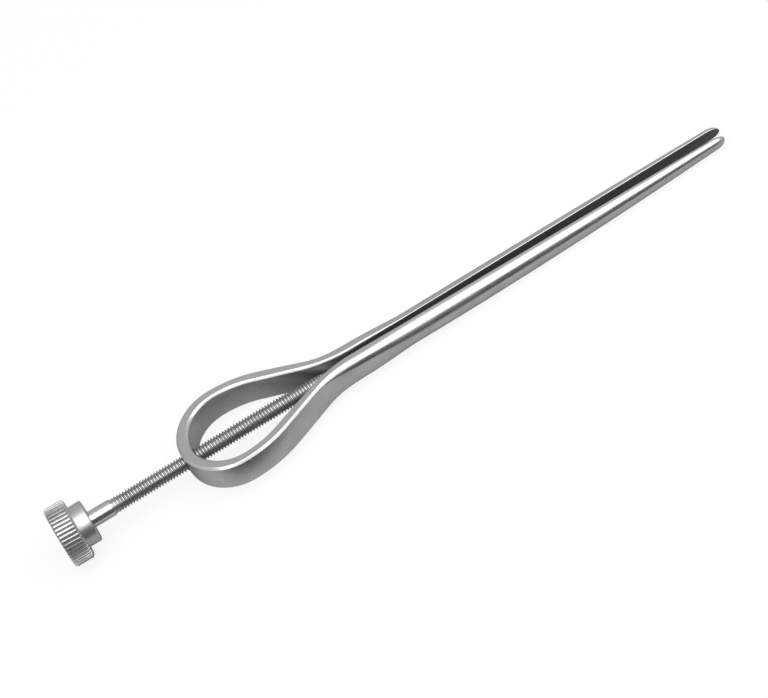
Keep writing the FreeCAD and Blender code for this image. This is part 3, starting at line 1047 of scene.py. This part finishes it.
@dataclass
class Knob:
    """The knob: a knurled disc with a plain hub towards the loop.

    The lengths are in millimetres.
    """

    radius: float = 6.0
    length: float = 4.0
    outer_edge: float = 0.5
    front_edge: float = 0.38
    hub_radius: float = 4.125
    hub_edge: float = 0.32
    bore_radius: float = 1.32
    bore_sides: int = 64
    foot: tuple[Pair, ...] = ((0.0, 0.15), (0.05, 0.03), (0.2, 0.0))
    groove_count: int = 46
    groove_lean: float = -1.6
    # Painted shade on the grooves' floors.
    groove_painted_shade: float = 0.5
    steps_per_tooth: int = 8
    land_drops: tuple[tuple[int, float], ...] = ((0, 0.4), (1, 0.35), (2, 0.045), (3, 0.01))
    sharp_degrees: float = 32.0
    start_x: float = field(init=False)
    end_x: float = field(init=False)
    front_x: float = field(init=False)
    piece: Object = field(init=False)

    def __post_init__(self) -> None:
        """Read the knob's ends from the frame."""
        self.start_x = box_low(Node.KNOB).x
        self.end_x = box_high(Node.KNOB).x
        self.front_x = self.start_x + self.length

    def rim(self) -> list[Pair]:
        """The disc's profile over its knurled rim, from the outer face to the front one."""
        edge = self.outer_edge
        outer = corner((self.start_x + edge, self.radius - edge), edge, 180, 90, 5)
        return [
            *outer,
            (self.front_x - self.front_edge, self.radius),
            (self.front_x, self.radius - self.front_edge),
        ]

    def build(self) -> None:
        """Turn the disc and hub, mill the knurl and bore the seat."""
        edge = self.hub_edge
        hub_end = corner((self.end_x - edge, self.hub_radius - edge), edge, 90, 0, 5)
        profile = [
            (self.start_x, self.bore_radius * 1.6),
            *self.rim(),
            *((self.front_x + along, self.hub_radius + out) for along, out in self.foot),
            *hub_end,
            (self.end_x, self.bore_radius * 1.6),
        ]
        knob = turn("knurled_knob_finished", profile, self.groove_count * self.steps_per_tooth)
        with editing(knob):
            self.mill(knob)
            select_vertices(knob, lambda place: place.x > self.front_x - self.front_edge - 0.01)
            bpy.ops.transform.rotate(
                value=math.radians(self.groove_lean),
                orient_axis="X",
                center_override=(0, 0, 0),
            )
        ends = (self.start_x - 1, self.end_x + 1)
        cut(knob, turn("bore_cutter", [(x, self.bore_radius) for x in ends], self.bore_sides))
        finish_surface(knob, self.sharp_degrees)
        self.piece = knob

    def mill(self, knob: Object) -> None:
        """Bring the rim's rings in to the grooves' floors and the rounded lands.

        Args:
            knob: the knob, in edit mode.
        """
        tooth = 2 * math.pi / self.groove_count
        for x, ring_radius in self.rim():
            for step, drop in self.land_drops:
                ratio = min(1.0, (self.radius - drop) / ring_radius)
                if ratio == 1.0:
                    continue
                steps = {step, self.steps_per_tooth - step}

                def in_groove(place: Vector) -> bool:
                    """Whether a vertex of this ring lies at one of the steps of its tooth."""
                    if abs(place.x - x) > 1e-3 or math.hypot(place.y, place.z) < 0.9 * ring_radius:
                        return False
                    share = math.atan2(place.y, place.z) / tooth % 1.0
                    return round(share * self.steps_per_tooth) % self.steps_per_tooth in {
                        number % self.steps_per_tooth for number in steps
                    }

                select_vertices(knob, in_groove)
                bpy.ops.transform.resize(value=(1, ratio, ratio), center_override=(x * MM, 0, 0))
                # Painted shade on the grooves' floors and their first steps up.
                if step < 2:
                    self.paint_groove_shade(knob)

    def paint_groove_shade(self, knob: Object) -> None:
        """Paint shade on the selected points, the grooves' floors.

        Args:
            knob: the knob, in edit mode.
        """
        mesh = bmesh.from_edit_mesh(knob.data)
        layer = mesh.verts.layers.float.get(PAINTED_SHADE) or mesh.verts.layers.float.new(PAINTED_SHADE)
        for vertex in mesh.verts:
            if vertex.select:
                # Painted shade on the groove floor.
                vertex[layer] = self.groove_painted_shade
        bmesh.update_edit_mesh(knob.data)

    def dress(self, material: Material) -> None:
        """Give the knob its steel and its body.

        Args:
            material: the knob's steel.
        """
        dress(self.piece, material, Slot.KNOB, Node.KNOB)
        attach(self.piece, Body.KNOB.value)


# The studio


@dataclass
class Studio:
    """A pale floor that the instrument rests on, one large soft light and a plain surround."""

    floor_size: float = 2.4
    floor_colour: str = "#d8d8d6"
    floor_white_share: float = 0.87
    # Painted shade in what the metal mirrors of the floor: darker in front and under the
    # instrument.
    mirrored_near: str = "#adadab"
    mirrored_shade_far: str = "#404040"
    mirrored_shade_below: str = "#9c9c9b"
    far_edge: float = -21.0
    near_edge: float = -10.0
    below_start: float = -7.0
    below_edge: float = -1.0
    softbox_tilt: float = 22.5
    softbox_distance: float = 0.62
    softbox_depth: float = 0.66
    softbox_width: float = 1.3
    softbox_power: float = 6.2
    front_turn: Pair = (-0.9, -0.3)
    back_turn: Pair = (0.2, 0.75)
    dark_side: float = 0.12
    pale_side: float = 0.62
    overhead: float = 0.78
    rest_steps: int = 60

    def floor(self, spring: Spring, knob: Knob) -> None:
        """Lay the floor where the instrument comes to rest, on the knob's rim and the prongs.

        Args:
            spring: the sprung frame.
            knob: the knob.
        """
        foot_x = knob.front_x - knob.front_edge
        foot_z = -knob.radius
        run = spring.end_x - spring.root_x
        shares = [step / self.rest_steps for step in range(1, self.rest_steps)]
        places = [spring.root_x + run * share for share in shares]
        rise = min((spring.underside(x) - foot_z) / (x - foot_x) for x in places)
        select_none()
        bpy.ops.mesh.primitive_plane_add(size=self.floor_size)
        floor = bpy.context.active_object
        floor.name = floor.data.name = "studio_floor"
        floor.rotation_euler = (0, -math.atan(rise), 0)
        floor.location = (0, 0, (foot_z - rise * foot_x) * MM)
        bpy.ops.object.transform_apply(location=True, rotation=True, scale=True)
        floor.data.materials.append(self.floor_material())

    def floor_material(self) -> Material:
        """Matt paper: it keeps the soft shadow, and the camera sees it almost white.

        The metal mirrors it less bright, with painted shade: dark in front and close under the
        instrument.
        """
        material = bpy.data.materials.new("matt_white_paper")
        tree = empty_tree(material)
        rays = add_node(tree, "LightPath").outputs
        kinds = {0: rays["Is Glossy Ray"], 1: rays["Is Transmission Ray"]}
        mirrored = add_node(tree, "Math", kinds, operation="MAXIMUM").outputs["Value"]
        shares = {0: rays["Is Camera Ray"], 1: self.floor_white_share}
        share = add_node(tree, "Math", shares, operation="MULTIPLY").outputs["Value"]
        place = add_node(tree, "TexCoord").outputs["Object"]
        front_to_back = add_node(tree, "SeparateXYZ", {"Vector": place}).outputs["Y"]
        # Painted shade in reflections: the floor's colour for glossy rays, dark in front and under
        # the instrument.
        mirrored_colour: object = linear(self.mirrored_shade_far)
        for start, end, shade in (
            (self.far_edge, self.near_edge, self.mirrored_near),
            (self.below_start, self.below_edge, self.mirrored_shade_below),
        ):
            limits = {"Value": front_to_back, "From Min": start * MM, "From Max": end * MM}
            ramp = add_node(tree, "MapRange", limits, interpolation_type="SMOOTHSTEP")
            reached = ramp.outputs["Result"]
            mixed = {"Factor": reached, 6: mirrored_colour, 7: linear(shade)}
            mirrored_colour = add_node(tree, "Mix", mixed, data_type="RGBA").outputs[2]
        colours = {"Factor": mirrored, 6: linear(self.floor_colour), 7: mirrored_colour}
        colour = add_node(tree, "Mix", colours, data_type="RGBA").outputs[2]
        paper = add_node(tree, "BsdfDiffuse", {"Color": colour}).outputs["BSDF"]
        glow = {"Color": (1.0, 1.0, 1.0, 1.0), "Strength": 1.0}
        white = add_node(tree, "Emission", glow).outputs["Emission"]
        mix = add_node(tree, "MixShader", {0: share, 1: paper, 2: white}).outputs["Shader"]
        add_node(tree, "OutputMaterial", {"Surface": mix})
        return material

    def surround(self) -> None:
        """Set the world: dark low down in front, paler overhead and behind, white to the camera."""
        world = bpy.data.worlds.new("studio_surround")
        bpy.context.scene.world = world
        tree = empty_tree(world)
        rays = add_node(tree, "LightPath").outputs
        direction = add_node(tree, "TexCoord").outputs["Generated"]
        back = add_node(tree, "SeparateXYZ", {"Vector": direction}).outputs["Y"]
        front_part, back_part = (
            add_node(
                tree,
                "MapRange",
                {"Value": back, "From Min": start, "From Max": end, "To Min": low, "To Max": high},
                interpolation_type="SMOOTHSTEP",
            ).outputs["Result"]
            for start, end, low, high in (
                (*self.front_turn, self.dark_side, self.overhead),
                (*self.back_turn, 0.0, self.overhead - self.pale_side),
            )
        )
        parts = {0: front_part, 1: back_part}
        level = add_node(tree, "Math", parts, operation="SUBTRACT").outputs["Value"]
        levels = {"Factor": rays["Is Camera Ray"], 2: level, 3: 1.0}
        strength = add_node(tree, "Mix", levels, data_type="FLOAT").outputs[0]
        glow = {"Color": (1.0, 1.0, 1.0, 1.0), "Strength": strength}
        background = add_node(tree, "Background", glow).outputs["Background"]
        add_node(tree, "OutputWorld", {"Surface": background})

    def softbox(self) -> None:
        """Hang the large light overhead, leaning to the camera's side."""
        light = bpy.data.lights.new("overhead_softbox", "AREA")
        light.shape = "RECTANGLE"
        light.size = self.softbox_width
        light.size_y = self.softbox_depth
        light.energy = self.softbox_power
        lamp = bpy.data.objects.new("overhead_softbox", light)
        bpy.context.scene.collection.objects.link(lamp)
        tilt = math.radians(self.softbox_tilt)
        lamp.location = Vector((0, -math.sin(tilt), math.cos(tilt))) * self.softbox_distance
        lamp.rotation_euler = (tilt, 0, 0)

    def build(self, spring: Spring, knob: Knob) -> None:
        """Set up the floor, the surround and the light.

        Args:
            spring: the sprung frame.
            knob: the knob.
        """
        self.floor(spring, knob)
        self.surround()
        self.softbox()


@dataclass(frozen=True)
class PhotographCamera:
    """The photograph's camera: above the instrument's near side, rolled so that its tips point up.

    Attributes:
        elevation: how far above the instrument's plane it stands, in degrees.
        roll: how far the instrument's axis rises to the right in the picture, in degrees.
        distance: from the middle of the picture, in millimetres.
        lens: focal length for the sensor's width, in millimetres.
        sensor: the sensor's width in millimetres.
        middle: the point that stands in the middle of the picture, in millimetres.
    """

    elevation: float = 47.0
    roll: float = 31.12
    distance: float = 1500.0
    lens: float = 390.2
    sensor: float = 36.0
    middle: tuple[float, float, float] = (-2.17, -0.67, -0.63)

    def build(self) -> None:
        """Create the camera and make it the scene's own."""
        tilted = Matrix.Rotation(math.radians(90 - self.elevation), 4, "X")
        turned = tilted @ Matrix.Rotation(math.radians(-self.roll), 4, "Z")
        place = (Vector(self.middle) + turned @ Vector((0, 0, self.distance))) * MM
        lens = bpy.data.cameras.new("photograph_camera")
        lens.lens = self.lens
        lens.sensor_width = self.sensor
        lens.clip_start = 0.01
        camera = bpy.data.objects.new("photograph_camera", lens)
        bpy.context.scene.collection.objects.link(camera)
        camera.matrix_world = Matrix.Translation(place) @ turned
        bpy.context.scene.camera = camera


def main() -> None:
    """Build and dress the whole instrument in its studio."""
    logging.basicConfig(level=logging.INFO, format="%(name)s: %(message)s")
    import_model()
    bpy.context.scene.view_settings.view_transform = "Standard"

    spring = Spring()
    spindle = Spindle()
    knob = Knob()
    for piece, finish in ((spring, SPRING_STEEL), (spindle, TURNED_STEEL), (knob, SATIN_STEEL)):
        piece.build()
        piece.dress(finish.material())
    Studio().build(spring, knob)
    PhotographCamera().build()


if __name__ == "__main__":
    main()
